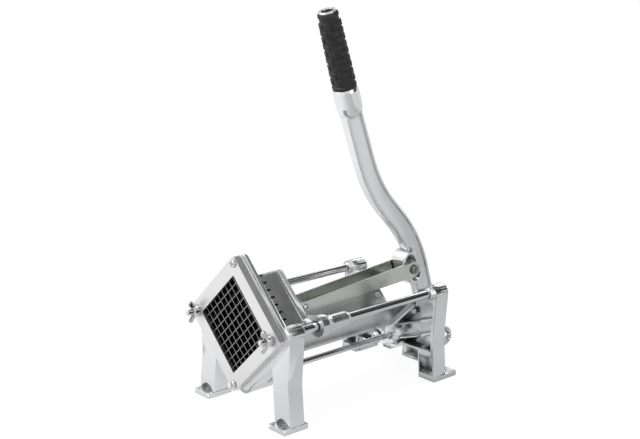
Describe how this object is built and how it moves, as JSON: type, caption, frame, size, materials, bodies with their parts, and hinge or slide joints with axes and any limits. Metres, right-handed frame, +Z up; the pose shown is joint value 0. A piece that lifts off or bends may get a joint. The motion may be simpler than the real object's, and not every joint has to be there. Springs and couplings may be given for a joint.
{
  "type": "french fry cutter",
  "caption": "Lever operated fry cutter: cast frames on guide rods, linked pusher with finger block, half lapped blade grid behind a square plate standing on its corner.",
  "frame": {"origin": "on the floor under the feet, in the middle of the four foot holes", "axes": "+Z up, +Y from the blade grid to the lever's fulcrum, +X to the right seen from the front"},
  "size_m": [0.155, 0.334, 0.4212],
  "materials": {
    "frame_casting": "bright polished casting",
    "pusher_casting": "bright polished casting",
    "lever_casting": "bright polished casting",
    "plate": "satin, fine ground",
    "rods": "ground and plated",
    "blades": "ground stainless steel",
    "fasteners": "bright plated",
    "trough_sheet": "rolled stainless sheet",
    "channel_zinc": "zinc coated sheet",
    "bronze": "sintered bronze",
    "rubber": "matt, moulded pads",
    "grip_metal": "bright tube"
  },
  "bodies": {
    "frame": {"front_frame": "frame_casting", "rear_frame": "frame_casting", "guide_rod_left": "rods", "guide_rod_right": "rods", "tie_rod": "rods", "tie_rod_nut": "fasteners", "rod_set_screws": "fasteners", "front_plate": "plate", "plate_screws": "fasteners", "blade_ring": "blades", "blades_rising": "blades", "blades_falling": "blades", "wing_studs": "fasteners", "stud_washers": "fasteners", "trough": "trough_sheet", "trough_screws": "fasteners", "trough_nuts": "fasteners", "fulcrum_bolt": "fasteners", "fulcrum_washers": "fasteners", "fulcrum_nut": "fasteners"},
    "left_wing_nut": {"wing_nut_left": "fasteners"},
    "right_wing_nut": {"wing_nut_right": "fasteners"},
    "pusher": {"finger_block": "pusher_casting", "block_screws": "fasteners", "carriage": "pusher_casting", "rod_bushes": "fasteners", "channel": "channel_zinc", "channel_screws": "fasteners", "channel_nuts": "fasteners", "drive_pin": "fasteners", "drive_pin_clip": "fasteners"},
    "hand_lever": {"lever": "lever_casting", "lever_bush": "bronze", "grip_core": "grip_metal", "grip": "rubber", "grip_end_ring": "grip_metal"}
  },
  "joints": [
    {"name": "pusher_slide", "type": "slide", "parent": "frame", "child": "pusher", "axis": [0, 1, 0], "range_m": [-0.022, 0.07]},
    {"name": "lever_hinge", "type": "hinge", "parent": "frame", "child": "hand_lever", "pos_m": [0, 0.17, 0.023], "axis": [-1, 0, 0], "range_deg": [-12.2, 38.6]},
    {"name": "left_wing_nut_turn", "type": "hinge", "parent": "frame", "child": "left_wing_nut", "pos_m": [-0.0604, -0.14, 0.101], "axis": [0, 1, 0], "continuous": true},
    {"name": "right_wing_nut_turn", "type": "hinge", "parent": "frame", "child": "right_wing_nut", "pos_m": [0.0604, -0.14, 0.101], "axis": [0, 1, 0], "continuous": true}
  ],
  "couplings": [
    {"joint": "lever_hinge", "follows": "pusher_slide", "rad_per_m": 9.6}
  ]
}
